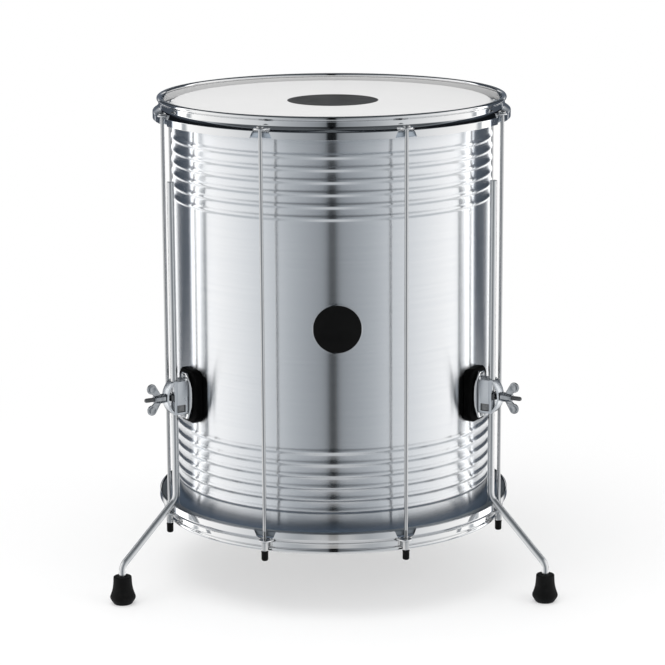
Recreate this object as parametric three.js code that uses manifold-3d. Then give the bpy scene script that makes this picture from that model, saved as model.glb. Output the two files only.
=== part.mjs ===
// Floor surdo: ribbed aluminium shell, two tensioned heads, three clamped legs.
// Lengths are in millimetres. +Z is up and -Y is the front, where the badge sits.
import * as THREE from 'three';
import Module from 'manifold-3d';

// Overall layout, measured from the top rim down and from the drum's axis out.
const OVERALL_HEIGHT = 661;
const RIM_TO_RIM = 572;
const HEAD_BELOW_RIM = 8;
const FIT_GAP = 0.3;
const FILM_THICKNESS = 0.5;
const WORK_EPSILON = 1;

// Shell tube with its two groups of raised beads.
const SHELL_RADIUS = 214;
const SHELL_WALL = 1.5;
const SHELL_EDGE_BEVEL = 1.2;
const SHELL_EDGE_DROP = 1.7;
const BEAD_HEIGHT = 2;
const BEAD_PITCH = 15.6;
const BEAD_FOOT_HALF = 5.4;
const BEAD_CREST_HALF = 2.2;
const BEAD_LAST_FROM_END = 41.7;
const BEADS_PER_GROUP = 6;
const BIG_RING_SIDES = 48;

// Counterhoop section, in radius and in depth below its rim.
const SHELL_TO_HOOP = 18;
const HOOP_SHEET = 1.8;
const HOOP_BEAD_OUT = 2.2;
const HOOP_BEAD_CROWN_OUT = 1;
const HOOP_BEAD_MIDDLE = 1.4;
const HOOP_BEAD_DEPTH = 3.2;
const HOOP_FLARE_START = 14.5;
const HOOP_FLARE_KNEE_OUT = 5.6;
const HOOP_FLARE_KNEE_DROP = 2.1;
const HOOP_LIP_OUT = 8;
const HOOP_LIP_DROP = 4.5;
const HOOP_LIP_TALL = 10;
const HOOP_WALL_RADIUS = SHELL_RADIUS + SHELL_TO_HOOP;
const HOOP_LIP_RADIUS = HOOP_WALL_RADIUS + HOOP_LIP_OUT;
const HOOP_LIP_START = HOOP_FLARE_START + HOOP_LIP_DROP;
const HOOP_LIP_END = HOOP_LIP_START + HOOP_LIP_TALL;

// Flesh hoop under the flare, and the head film bonded to it.
const FLESH_SIDE_GAP = 1;
const FLESH_WIDTH = 9.2;
const FLESH_TOP_GAP = 1.8;
const FLESH_TALL = 7.6;
const FLESH_ROUND = 1.6;
const FLESH_OUTER_RADIUS = HOOP_LIP_RADIUS - HOOP_SHEET - FLESH_SIDE_GAP;
const FLESH_INNER_RADIUS = FLESH_OUTER_RADIUS - FLESH_WIDTH;
const FLESH_TOP_DEPTH = HOOP_LIP_START + FLESH_TOP_GAP;
const FLESH_END_DEPTH = FLESH_TOP_DEPTH + FLESH_TALL;
const FILM_KNEE_INSET = 1.3;
const FILM_HEM = 3.4;
const FILM_KNEE_RADIUS = SHELL_RADIUS - FILM_KNEE_INSET;
const FILM_SKIRT_RADIUS = FLESH_INNER_RADIUS - FIT_GAP;
const FILM_SKIRT_DEPTH = FLESH_TOP_DEPTH;
const FILM_SKIRT_END = FILM_SKIRT_DEPTH + FILM_HEM;

// Ears of the counterhoop: a notch through the lip and a flat tab for the rod.
const EAR_COUNT = 8;
const EAR_TURN_DEGREES = 0.55;
const NOTCH_TOP_HALF = 4;
const NOTCH_END_HALF = 13;
const NOTCH_BACK_OUT = 2.6;
const NOTCH_REACH = 3;
const NOTCH_BELOW_TAB = 0.1;
const TAB_BELOW_FLARE_START = 0.8;
const TAB_THICKNESS = 2;
const TAB_ROOT_IN = 1;
const TAB_ROOT_HALF = 12;
const TAB_NECK_IN = 1;
const TAB_NECK_HALF = 9;
const TAB_END_OUT = 7.1;
const TAB_END_HALF = 4;
const TAB_TOP_DEPTH = HOOP_FLARE_START + TAB_BELOW_FLARE_START;
const NOTCH_TOP_DEPTH = TAB_TOP_DEPTH + TAB_THICKNESS + NOTCH_BELOW_TAB;

// Tension rods with their nuts and rubber end caps.
const ROD_BEYOND_LIP = 0.5;
const ROD_CIRCLE_RADIUS = HOOP_LIP_RADIUS + ROD_BEYOND_LIP;
const ROD_RADIUS = 2.5;
const ROD_SIDES = 10;
const ROD_HOLE_GAP = 0.4;
const ROD_HOLE_RADIUS = ROD_RADIUS + ROD_HOLE_GAP;
const ROD_HEAD_RADIUS = 5;
const ROD_HEAD_EDGE = 1.3;
const ROD_HEAD_CROWN_RADIUS = 3;
const ROD_HEAD_HEIGHT = 3;
const ROD_END_TAPER = 0.8;
const WASHER_RADIUS = 5.6;
const WASHER_THICKNESS = 1.4;
const THREAD_GAP = 0.2;
const NUT_RADIUS = 4.7;
const NUT_SIDES = 6;
const NUT_HEIGHT = 11.5;
const NUT_BORE_RADIUS = ROD_RADIUS + THREAD_GAP;
const CAP_WALL = 1.8;
const CAP_MOUTH_OUT = 0.3;
const CAP_MOUTH_BAND = 1.5;
const CAP_LENGTH = 13.2;
const CAP_FLOOR = 3;
const CAP_ROUND = 2.4;
const CAP_BORE_RADIUS = ROD_RADIUS + THREAD_GAP;
const CAP_RADIUS = CAP_BORE_RADIUS + CAP_WALL;
const CAP_MOUTH_RADIUS = CAP_RADIUS + CAP_MOUTH_OUT;
const CAP_SIDES = 10;

// Round badge on the shell.
const BADGE_RADIUS = 32.5;
const BADGE_THICKNESS = 1.3;
const BADGE_EDGE = 0.5;
const BADGE_ABOVE_MIDDLE = 9.5;
const BADGE_TURN_DEGREES = 1.65;
const BADGE_RINGS = 3;
const BADGE_SIDES = 36;

// Leg bracket stack, outward from the shell: gasket, plate, housing, leg.
const SKIN_GAP = 0.2;
const GASKET_HALF_WIDTH = 23.5;
const GASKET_HALF_HEIGHT = 35.8;
const GASKET_CORNER = 11;
const GASKET_THICKNESS = 10.3;
const GASKET_EDGE = 2;
const GASKET_OUTER_RADIUS = SHELL_RADIUS + SKIN_GAP + GASKET_THICKNESS;
const PLATE_HALF_HEIGHT = 31.5;
const PLATE_HALF_WIDTH = 18;
const PLATE_END_HALF = 7.5;
const PLATE_THICKNESS = 4.1;
const PLATE_EDGE = 1.6;
const PLATE_FACE = GASKET_OUTER_RADIUS + SKIN_GAP + PLATE_THICKNESS;
const PAD_RINGS = 3;
const HOUSING_HALF_WIDTH = 12;
const HOUSING_HALF_HEIGHT = 22.5;
const HOUSING_CORNER = 3.5;
const HOUSING_CHAMFER = 2;
const HOUSING_BACK_WALL = 4.4;

// Eye bolt round the leg, with the wing nut that draws it outward.
const LEG_RADIUS = 4.75;
const LEG_CLEARANCE = 0.3;
const EYE_WALL = 4.15;
const EYE_HALF_HEIGHT = 4.6;
const EYE_ROUND = 1.2;
const EYE_SIDES = 18;
const EYE_POCKET_GAP = 0.4;
const EYE_INNER_RADIUS = LEG_RADIUS + LEG_CLEARANCE;
const EYE_OUTER_RADIUS = EYE_INNER_RADIUS + EYE_WALL;
const EYE_POCKET_RADIUS = EYE_OUTER_RADIUS + EYE_POCKET_GAP;
const LEG_CIRCLE_RADIUS = PLATE_FACE + SKIN_GAP + HOUSING_BACK_WALL + EYE_POCKET_RADIUS;
const HOUSING_OUTER = LEG_CIRCLE_RADIUS + EYE_WALL;
const ARCH_SHEET = 2.6;
const ARCH_HALF_WIDTH = 8;
const ARCH_OVERLAP = 0.7;
const ARCH_ROOM = 2.2;
const ARCH_REACH = LEG_CIRCLE_RADIUS + EYE_POCKET_RADIUS + ARCH_ROOM + ARCH_SHEET / 2;
const ARCH_FOOT_RADIUS = HOUSING_OUTER - ARCH_OVERLAP;
const ARCH_FOOT_HEIGHT = HOUSING_HALF_HEIGHT - ARCH_SHEET / 2;
const ARCH_STEPS = 8;
const RECESS_LOW = -18.5;
const RECESS_HIGH = -9.5;
const RECESS_DEPTH = 2;
const SHANK_RADIUS = 3;
const SHANK_SIDES = 16;
const SHANK_HOLE_GAP = 0.5;
const SHANK_BEYOND_NUT = 12.8;
const SHANK_TIP_TAPER = 1;
const WING_SEAT_GAP = 0.4;
const WING_HUB_START = ARCH_REACH + ARCH_SHEET / 2 + WING_SEAT_GAP;
const WING_HUB_LENGTH = 16;
const WING_HUB_RADIUS = 6.4;
const WING_HUB_NOSE_RADIUS = 5;
const SHANK_TIP = WING_HUB_START + WING_HUB_LENGTH + SHANK_BEYOND_NUT;
const WING_LOBE_OUT = 18.4;
const WING_LOBE_SIDE = 14.4;
const WING_LOBE_RADIUS = 6.9;
const WING_ROOT_LOW_OUT = 4.5;
const WING_ROOT_HIGH_OUT = 14.5;
const WING_ROOT_SIDE = 4;
const WING_HALF_THICKNESS = 1.4;
const WING_LOBE_STEPS = 9;

// Dome screws that hold the bracket to the shell.
const SCREW_FROM_PLATE_END = 4.6;
const SCREW_RADIUS = 3.7;
const SCREW_EDGE = 0.8;
const SCREW_CROWN_RADIUS = 2.8;
const SCREW_HEIGHT = 2.8;
const SCREW_SIDES = 12;
const SCREW_SEAT_GAP = 0.1;

// Legs: straight rods with two bends, and a rubber foot on each.
const LEG_SIDES = 16;
const LEG_TOP_BELOW_RIM = 99;
const LEG_TOP_CHAMFER = 1;
const LEG_BEND_ABOVE_RIM = 44.5;
const LEG_BEND_ABOVE_FOOT = 13.5;
const LEG_BEND_RADIUS = 18;
const LEG_BEND_STEPS = 5;
const FOOT_SPREAD = 82;
const FOOT_CIRCLE_RADIUS = LEG_CIRCLE_RADIUS + FOOT_SPREAD;
const FOOT_HEIGHT = 38;
const FOOT_TOP_WALL = 7.4;
const FOOT_TOP_ROUND = 1.6;
const FOOT_WAIST_OUT = 0.8;
const FOOT_WAIST_DROP = 14;
const FOOT_FLARE_OUT = 3.4;
const FOOT_FLARE_HEIGHT = 13;
const FOOT_SIDE_OUT = 0.95;
const FOOT_SIDE_HEIGHT = 8.6;
const FOOT_ROUND_IN = 4.6;
const FOOT_ROUND_HEIGHT = 0.9;
const FOOT_BASE_IN = 5.9;
const FOOT_BORE_FLOOR = 8;
const FOOT_FIT_GAP = 0.1;
const FOOT_BORE_RADIUS = LEG_RADIUS + FOOT_FIT_GAP;
const FOOT_TOP_RADIUS = FOOT_BORE_RADIUS + FOOT_TOP_WALL;
const FOOT_WAIST_RADIUS = FOOT_TOP_RADIUS + FOOT_WAIST_OUT;
const FOOT_FLARE_RADIUS = FOOT_WAIST_RADIUS + FOOT_FLARE_OUT;
const FOOT_SIDE_RADIUS = FOOT_FLARE_RADIUS + FOOT_SIDE_OUT;
const FOOT_SIDES = 18;

// Derived levels.
const FULL_TURN = Math.PI * 2;
const QUARTER_TURN = Math.PI / 2;
const RADIANS = Math.PI / 180;
const TOP_RIM = OVERALL_HEIGHT;
const BOTTOM_RIM = OVERALL_HEIGHT - RIM_TO_RIM;
const MIDDLE = (TOP_RIM + BOTTOM_RIM) / 2;
const SHELL_HALF = RIM_TO_RIM / 2 - HEAD_BELOW_RIM - FILM_THICKNESS - FIT_GAP;
const BEAD_LAST = SHELL_HALF - BEAD_LAST_FROM_END;
const BEAD_FIRST = BEAD_LAST - (BEADS_PER_GROUP - 1) * BEAD_PITCH;
const BRACKET_ABOVE_BEADS = 14.5;
const BRACKET_BELOW_MIDDLE =
  BEAD_FIRST - BEAD_FOOT_HALF - BRACKET_ABOVE_BEADS - GASKET_HALF_HEIGHT;
const BRACKET_HEIGHT = MIDDLE - BRACKET_BELOW_MIDDLE;
const LEG_PLACES = ['front_right', 'rear', 'front_left'];
const AXIS_SHIFT = (FOOT_CIRCLE_RADIUS + FOOT_SIDE_RADIUS - HOOP_LIP_RADIUS) / 2;

const wasm = await Module();
wasm.setup();

const PI_RING = (sides) => Array.from({ length: sides }, (_, i) => (i * FULL_TURN) / sides);

// A closed skin through rings with equally many points. Open lists get flat ends.
function skin(rings, wraps = false) {
  const count = rings[0].length;
  const points = rings.flat();
  const index = [];
  const bands = wraps ? rings.length : rings.length - 1;
  for (let band = 0; band < bands; band += 1) {
    const low = band * count;
    const high = ((band + 1) % rings.length) * count;
    for (let i = 0; i < count; i += 1) {
      const next = (i + 1) % count;
      index.push(low + i, low + next, high + next);
      index.push(low + i, high + next, high + i);
    }
  }
  if (!wraps) {
    const lastStart = (rings.length - 1) * count;
    const first = points.length;
    points.push(middleOf(rings[0]));
    points.push(middleOf(rings[rings.length - 1]));
    for (let i = 0; i < count; i += 1) {
      const next = (i + 1) % count;
      index.push(first, next, i);
      index.push(first + 1, lastStart + i, lastStart + next);
    }
  }
  return facingOut(points, index);
}

function middleOf(ring) {
  const sum = new THREE.Vector3();
  ring.forEach((point) => sum.add(point));
  return sum.divideScalar(ring.length);
}

// Turns the faces round when the enclosed volume comes out negative.
function facingOut(points, index) {
  let volume = 0;
  for (let i = 0; i < index.length; i += 3) {
    const [a, b, c] = [points[index[i]], points[index[i + 1]], points[index[i + 2]]];
    volume += a.dot(new THREE.Vector3().crossVectors(b, c));
  }
  if (volume < 0) {
    index.reverse();
  }
  const geometry = new THREE.BufferGeometry();
  geometry.setFromPoints(points);
  geometry.setIndex(index);
  return geometry;
}

function circle(radius, height, sides) {
  return PI_RING(sides).map(
    (turn) => new THREE.Vector3(radius * Math.cos(turn), radius * Math.sin(turn), height),
  );
}

// A solid turned about Z. A closed profile makes a ring, an open one gets flat ends.
function turned(profile, sides, closed = false) {
  return skin(profile.map(([radius, height]) => circle(radius, height, sides)), closed);
}

// An upright prism on a star-shaped outline.
function prism(outline, low, high) {
  const level = (height) => outline.map(([x, y]) => new THREE.Vector3(x, y, height));
  return skin([level(low), level(high)]);
}

// A section of [in-plane, sideways] offsets carried along a path in the XZ plane.
function carried(path, section) {
  const rings = path.map(([x, z], i) => {
    const before = path[Math.max(i - 1, 0)];
    const after = path[Math.min(i + 1, path.length - 1)];
    const way = new THREE.Vector2(after[0] - before[0], after[1] - before[1]).normalize();
    return section(i).map(
      ([inPlane, side]) => new THREE.Vector3(x - way.y * inPlane, side, z + way.x * inPlane),
    );
  });
  return skin(rings);
}

function roundSection(radius, sides) {
  return PI_RING(sides).map((turn) => [radius * Math.cos(turn), radius * Math.sin(turn)]);
}

function toSolid(geometry) {
  const vertProperties = Float32Array.from(geometry.attributes.position.array);
  const triVerts = Uint32Array.from(geometry.index.array);
  return new wasm.Manifold(new wasm.Mesh({ numProp: 3, vertProperties, triVerts }));
}

function fromSolid(solid) {
  const mesh = solid.getMesh();
  const geometry = new THREE.BufferGeometry();
  geometry.setAttribute('position', new THREE.BufferAttribute(mesh.vertProperties, mesh.numProp));
  geometry.setIndex(new THREE.BufferAttribute(mesh.triVerts, 1));
  return geometry;
}

// Adds the joined geometries together and takes the cutters away.
function carve(joined, cutters) {
  let solid = joined.map(toSolid).reduce((all, next) => all.add(next));
  cutters.map(toSolid).forEach((cutter) => {
    solid = solid.subtract(cutter);
  });
  return fromSolid(solid);
}

// Turns an upright part so that its Z axis points out from the drum.
const outward = (geometry) => geometry.rotateY(QUARTER_TURN);

// A patch wrapped on the shell: its outline is [along the curve, up] about its centre.
function wrapped(outline, radiusAt, innerRadius, rings) {
  const place = ([along, up], share, radius) => {
    const turn = (along * share) / innerRadius;
    return new THREE.Vector3(radius * Math.cos(turn), radius * Math.sin(turn), up * share);
  };
  const layers = [];
  for (let i = 1; i <= rings; i += 1) {
    layers.push(outline.map((point) => place(point, i / rings, innerRadius)));
  }
  for (let i = rings; i >= 1; i -= 1) {
    const share = radiusAt.edgeShare * (i / rings);
    layers.push(outline.map((point) => place(point, share, radiusAt.of(point[0] * share))));
  }
  if (radiusAt.sideRadius) {
    layers.splice(rings, 0, outline.map((point) => place(point, 1, radiusAt.sideRadius)));
  }
  return skin(layers);
}

// Shell
function shellProfile() {
  const inner = SHELL_RADIUS - SHELL_WALL;
  const outer = [];
  outer.push([SHELL_RADIUS - SHELL_EDGE_BEVEL, -SHELL_HALF]);
  outer.push([SHELL_RADIUS, SHELL_EDGE_DROP - SHELL_HALF]);
  const centres = [];
  for (let i = 0; i < BEADS_PER_GROUP; i += 1) {
    const height = BEAD_FIRST + i * BEAD_PITCH;
    centres.push(height);
    centres.unshift(-height);
  }
  centres.forEach((height) => {
    outer.push([SHELL_RADIUS, height - BEAD_FOOT_HALF]);
    outer.push([SHELL_RADIUS + BEAD_HEIGHT, height - BEAD_CREST_HALF]);
    outer.push([SHELL_RADIUS + BEAD_HEIGHT, height + BEAD_CREST_HALF]);
    outer.push([SHELL_RADIUS, height + BEAD_FOOT_HALF]);
  });
  outer.push([SHELL_RADIUS, SHELL_HALF - SHELL_EDGE_DROP]);
  outer.push([SHELL_RADIUS - SHELL_EDGE_BEVEL, SHELL_HALF]);
  return [...outer, [inner, SHELL_HALF], [inner, -SHELL_HALF]];
}

function buildShell() {
  return turned(shellProfile(), BIG_RING_SIDES, true).translate(0, 0, MIDDLE);
}

// Parts of one drum end are built rim upward with depth below the rim as -Z.
function buildHead() {
  const top = -HEAD_BELOW_RIM;
  const profile = [
    [FILM_KNEE_RADIUS, top],
    [FILM_SKIRT_RADIUS, -FILM_SKIRT_DEPTH],
    [FILM_SKIRT_RADIUS, -FILM_SKIRT_END],
    [FILM_SKIRT_RADIUS - FILM_THICKNESS, -FILM_SKIRT_END],
    [FILM_SKIRT_RADIUS - FILM_THICKNESS, -FILM_SKIRT_DEPTH - FILM_THICKNESS / 2],
    [FILM_KNEE_RADIUS - FILM_THICKNESS / 2, top - FILM_THICKNESS],
  ];
  return turned(profile, BIG_RING_SIDES);
}

function buildFleshHoop() {
  const profile = [
    [FLESH_INNER_RADIUS, -FLESH_END_DEPTH],
    [FLESH_OUTER_RADIUS, -FLESH_END_DEPTH],
    [FLESH_OUTER_RADIUS, -FLESH_TOP_DEPTH - FLESH_ROUND],
    [FLESH_OUTER_RADIUS - FLESH_ROUND, -FLESH_TOP_DEPTH],
    [FLESH_INNER_RADIUS, -FLESH_TOP_DEPTH],
  ];
  return turned(profile, BIG_RING_SIDES, true);
}

function hoopProfile() {
  const inner = HOOP_WALL_RADIUS - HOOP_SHEET;
  const kneeRadius = HOOP_WALL_RADIUS + HOOP_FLARE_KNEE_OUT;
  const kneeDepth = HOOP_FLARE_START + HOOP_FLARE_KNEE_DROP;
  return [
    [inner, -HOOP_BEAD_MIDDLE],
    [HOOP_WALL_RADIUS - HOOP_SHEET / 2, 0],
    [HOOP_WALL_RADIUS + HOOP_BEAD_CROWN_OUT, 0],
    [HOOP_WALL_RADIUS + HOOP_BEAD_OUT, -HOOP_BEAD_MIDDLE],
    [HOOP_WALL_RADIUS, -HOOP_BEAD_DEPTH],
    [HOOP_WALL_RADIUS, -HOOP_FLARE_START],
    [kneeRadius, -kneeDepth],
    [HOOP_LIP_RADIUS, -HOOP_LIP_START],
    [HOOP_LIP_RADIUS, -HOOP_LIP_END],
    [HOOP_LIP_RADIUS - HOOP_SHEET, -HOOP_LIP_END],
    [HOOP_LIP_RADIUS - HOOP_SHEET, -HOOP_LIP_START - HOOP_SHEET / 2],
    [kneeRadius - HOOP_SHEET / 2, -kneeDepth - HOOP_SHEET],
    [inner, -HOOP_FLARE_START - HOOP_SHEET / 2],
  ];
}

function earTab() {
  const root = HOOP_WALL_RADIUS - TAB_ROOT_IN;
  const neck = ROD_CIRCLE_RADIUS - TAB_NECK_IN;
  const end = ROD_CIRCLE_RADIUS + TAB_END_OUT;
  const outline = [
    [root, -TAB_ROOT_HALF],
    [neck, -TAB_NECK_HALF],
    [end, -TAB_END_HALF],
    [end, TAB_END_HALF],
    [neck, TAB_NECK_HALF],
    [root, TAB_ROOT_HALF],
  ];
  return prism(outline, -TAB_TOP_DEPTH - TAB_THICKNESS, -TAB_TOP_DEPTH);
}

function earNotch() {
  const spread = (NOTCH_END_HALF - NOTCH_TOP_HALF) / (HOOP_LIP_END - NOTCH_TOP_DEPTH);
  const endHalf = NOTCH_END_HALF + spread * WORK_EPSILON;
  const end = -HOOP_LIP_END - WORK_EPSILON;
  const back = HOOP_WALL_RADIUS + NOTCH_BACK_OUT;
  const front = HOOP_LIP_RADIUS + NOTCH_REACH;
  const level = (half, height) => [
    new THREE.Vector3(back, -half, height),
    new THREE.Vector3(front, -half, height),
    new THREE.Vector3(front, half, height),
    new THREE.Vector3(back, half, height),
  ];
  return skin([level(NOTCH_TOP_HALF, -NOTCH_TOP_DEPTH), level(endHalf, end)]);
}

function rodHole() {
  const low = -TAB_TOP_DEPTH - TAB_THICKNESS - WORK_EPSILON;
  const high = -TAB_TOP_DEPTH + WORK_EPSILON;
  const hole = turned([[ROD_HOLE_RADIUS, low], [ROD_HOLE_RADIUS, high]], ROD_SIDES);
  return hole.translate(ROD_CIRCLE_RADIUS, 0, 0);
}

const EAR_TURN = EAR_TURN_DEGREES * RADIANS;
const earAngles = Array.from(
  { length: EAR_COUNT },
  (_, i) => ((i + 1 / 2) * FULL_TURN) / EAR_COUNT - QUARTER_TURN + EAR_TURN,
);

function buildCounterhoop() {
  const tabs = earAngles.map((turn) => earTab().rotateZ(turn));
  const notches = earAngles.map((turn) => earNotch().rotateZ(turn));
  const holes = earAngles.map((turn) => rodHole().rotateZ(turn));
  return carve([turned(hoopProfile(), BIG_RING_SIDES, true), ...tabs], [...notches, ...holes]);
}

const atTop = (geometry) => geometry.translate(0, 0, TOP_RIM);
const atBottom = (geometry) => geometry.rotateX(Math.PI).translate(0, 0, BOTTOM_RIM);

// Tension rods
const TOP_TAB_FACE = TOP_RIM - TAB_TOP_DEPTH + SKIN_GAP;
const BOTTOM_TAB_FACE = BOTTOM_RIM + TAB_TOP_DEPTH - SKIN_GAP;
const NUT_END = BOTTOM_TAB_FACE - WASHER_THICKNESS - NUT_HEIGHT;
const CAP_END = NUT_END - SKIN_GAP - CAP_LENGTH;
const ROD_END = CAP_END + CAP_FLOOR + FIT_GAP;

function buildRod() {
  const profile = [
    [ROD_RADIUS - ROD_END_TAPER, ROD_END],
    [ROD_RADIUS, ROD_END + ROD_END_TAPER],
    [ROD_RADIUS, TOP_TAB_FACE],
    [ROD_HEAD_RADIUS, TOP_TAB_FACE],
    [ROD_HEAD_RADIUS, TOP_TAB_FACE + ROD_HEAD_EDGE],
    [ROD_HEAD_CROWN_RADIUS, TOP_TAB_FACE + ROD_HEAD_HEIGHT],
  ];
  return turned(profile, ROD_SIDES).translate(ROD_CIRCLE_RADIUS, 0, 0);
}

function buildNut() {
  const seat = BOTTOM_TAB_FACE - WASHER_THICKNESS;
  const washer = turned(
    [[WASHER_RADIUS, seat], [WASHER_RADIUS, BOTTOM_TAB_FACE]],
    ROD_SIDES,
  );
  const body = turned([[NUT_RADIUS, NUT_END], [NUT_RADIUS, seat + FIT_GAP]], NUT_SIDES);
  const bore = turned(
    [
      [NUT_BORE_RADIUS, NUT_END - WORK_EPSILON],
      [NUT_BORE_RADIUS, BOTTOM_TAB_FACE + WORK_EPSILON],
    ],
    ROD_SIDES,
  );
  return carve([washer, body], [bore]).translate(ROD_CIRCLE_RADIUS, 0, 0);
}

function buildCap() {
  const mouth = NUT_END - SKIN_GAP;
  const end = CAP_END;
  const profile = [
    [CAP_BORE_RADIUS, end + CAP_FLOOR],
    [CAP_BORE_RADIUS, mouth],
    [CAP_MOUTH_RADIUS, mouth],
    [CAP_MOUTH_RADIUS, mouth - CAP_MOUTH_BAND],
    [CAP_RADIUS, mouth - CAP_MOUTH_BAND],
    [CAP_RADIUS, end + CAP_ROUND],
    [CAP_RADIUS - CAP_ROUND / 3, end + CAP_ROUND / 3],
    [CAP_RADIUS - CAP_ROUND, end],
  ];
  return turned(profile, CAP_SIDES).translate(ROD_CIRCLE_RADIUS, 0, 0);
}

// Badge
function buildBadge() {
  const outline = PI_RING(BADGE_SIDES).map((turn) => [
    BADGE_RADIUS * Math.cos(turn),
    BADGE_RADIUS * Math.sin(turn),
  ]);
  const inner = SHELL_RADIUS + SKIN_GAP;
  const face = {
    edgeShare: 1 - BADGE_EDGE / BADGE_RADIUS,
    sideRadius: inner + BADGE_THICKNESS - BADGE_EDGE,
    of: () => inner + BADGE_THICKNESS,
  };
  const badge = wrapped(outline, face, inner, BADGE_RINGS);
  badge.rotateZ(BADGE_TURN_DEGREES * RADIANS - QUARTER_TURN);
  return badge.translate(0, 0, MIDDLE + BADGE_ABOVE_MIDDLE);
}

// Legs
function bend(corner, from, to) {
  const into = new THREE.Vector2(corner[0] - from[0], corner[1] - from[1]).normalize();
  const out = new THREE.Vector2(to[0] - corner[0], to[1] - corner[1]).normalize();
  const angle = Math.acos(into.dot(out));
  const reach = LEG_BEND_RADIUS * Math.tan(angle / 2);
  const side = Math.sign(into.x * out.y - into.y * out.x);
  const start = new THREE.Vector2(...corner).addScaledVector(into, -reach);
  const centre = start.clone();
  centre.addScaledVector(new THREE.Vector2(-into.y, into.x), side * LEG_BEND_RADIUS);
  const points = [];
  for (let i = 0; i <= LEG_BEND_STEPS; i += 1) {
    const point = start.clone().rotateAround(centre, (side * angle * i) / LEG_BEND_STEPS);
    points.push([point.x, point.y]);
  }
  return points;
}

function buildLeg() {
  const top = [LEG_CIRCLE_RADIUS, TOP_RIM - LEG_TOP_BELOW_RIM];
  const upper = [LEG_CIRCLE_RADIUS, BOTTOM_RIM + LEG_BEND_ABOVE_RIM];
  const lower = [FOOT_CIRCLE_RADIUS, FOOT_HEIGHT + LEG_BEND_ABOVE_FOOT];
  const end = [FOOT_CIRCLE_RADIUS, FOOT_BORE_FLOOR + FIT_GAP];
  const path = [
    top,
    [top[0], top[1] - LEG_TOP_CHAMFER],
    ...bend(upper, top, lower),
    ...bend(lower, upper, end),
    end,
  ];
  const full = roundSection(LEG_RADIUS, LEG_SIDES);
  const narrow = roundSection(LEG_RADIUS - LEG_TOP_CHAMFER, LEG_SIDES);
  return carried(path, (i) => (i === 0 ? narrow : full));
}

function buildFoot() {
  const profile = [
    [FOOT_BORE_RADIUS, FOOT_BORE_FLOOR],
    [FOOT_BORE_RADIUS, FOOT_HEIGHT],
    [FOOT_TOP_RADIUS - FOOT_TOP_ROUND, FOOT_HEIGHT],
    [FOOT_TOP_RADIUS, FOOT_HEIGHT - FOOT_TOP_ROUND],
    [FOOT_WAIST_RADIUS, FOOT_HEIGHT - FOOT_WAIST_DROP],
    [FOOT_FLARE_RADIUS, FOOT_FLARE_HEIGHT],
    [FOOT_SIDE_RADIUS, FOOT_SIDE_HEIGHT],
    [FOOT_SIDE_RADIUS - FOOT_ROUND_IN, FOOT_ROUND_HEIGHT],
    [FOOT_SIDE_RADIUS - FOOT_BASE_IN, 0],
  ];
  return turned(profile, FOOT_SIDES).translate(FOOT_CIRCLE_RADIUS, 0, 0);
}

// Leg bracket
function buildGasket() {
  const [w, h, c] = [GASKET_HALF_WIDTH, GASKET_HALF_HEIGHT, GASKET_CORNER];
  const side = [[w, 0], [w, h / 2], [w, h - c]];
  const quarter = [...side, [w - c / 3, h - c / 3], [w - c, h], [(w - c) / 3, h]];
  const inner = SHELL_RADIUS + SKIN_GAP;
  const face = {
    edgeShare: 1 - GASKET_EDGE / GASKET_HALF_WIDTH,
    sideRadius: GASKET_OUTER_RADIUS - GASKET_EDGE,
    of: () => GASKET_OUTER_RADIUS,
  };
  return wrapped(mirroredOutline(quarter), face, inner, PAD_RINGS);
}

function buildPlate() {
  const [w, h, e] = [PLATE_HALF_WIDTH, PLATE_HALF_HEIGHT, PLATE_END_HALF];
  const bulge = (share) => e + (w - e) * (1 - share * share);
  const shares = [0, 1 / 4, 1 / 2, 3 / 4, 1];
  const quarter = shares.map((share) => [bulge(share), share * h]);
  const inner = GASKET_OUTER_RADIUS + SKIN_GAP;
  const face = {
    edgeShare: 1 - PLATE_EDGE / PLATE_HALF_WIDTH,
    sideRadius: PLATE_FACE - PLATE_EDGE,
    of: (along) => PLATE_FACE / Math.cos(along / inner),
  };
  return wrapped(mirroredOutline(quarter), face, inner, PAD_RINGS);
}

// Mirrors the first quadrant of an outline into all four.
function mirroredOutline(quarter) {
  const back = quarter.slice().reverse();
  return [
    ...quarter,
    ...back.map(([x, y]) => [-x, y]),
    ...quarter.slice(1).map(([x, y]) => [-x, -y]),
    ...back.slice(0, -1).map(([x, y]) => [x, -y]),
  ];
}

function housingBlock() {
  const inner = PLATE_FACE + SKIN_GAP;
  const level = (inset, height) => {
    const [x, y] = [HOUSING_OUTER - inset, HOUSING_HALF_WIDTH - inset];
    const outline = [
      [inner, -y],
      [x - HOUSING_CORNER, -y],
      [x, HOUSING_CORNER - y],
      [x, y - HOUSING_CORNER],
      [x - HOUSING_CORNER, y],
      [inner, y],
    ];
    return outline.map(([px, py]) => new THREE.Vector3(px, py, height));
  };
  const shoulder = HOUSING_HALF_HEIGHT - HOUSING_CHAMFER;
  return skin([
    level(HOUSING_CHAMFER, -HOUSING_HALF_HEIGHT),
    level(0, -shoulder),
    level(0, shoulder),
    level(HOUSING_CHAMFER, HOUSING_HALF_HEIGHT),
  ]);
}

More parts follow.
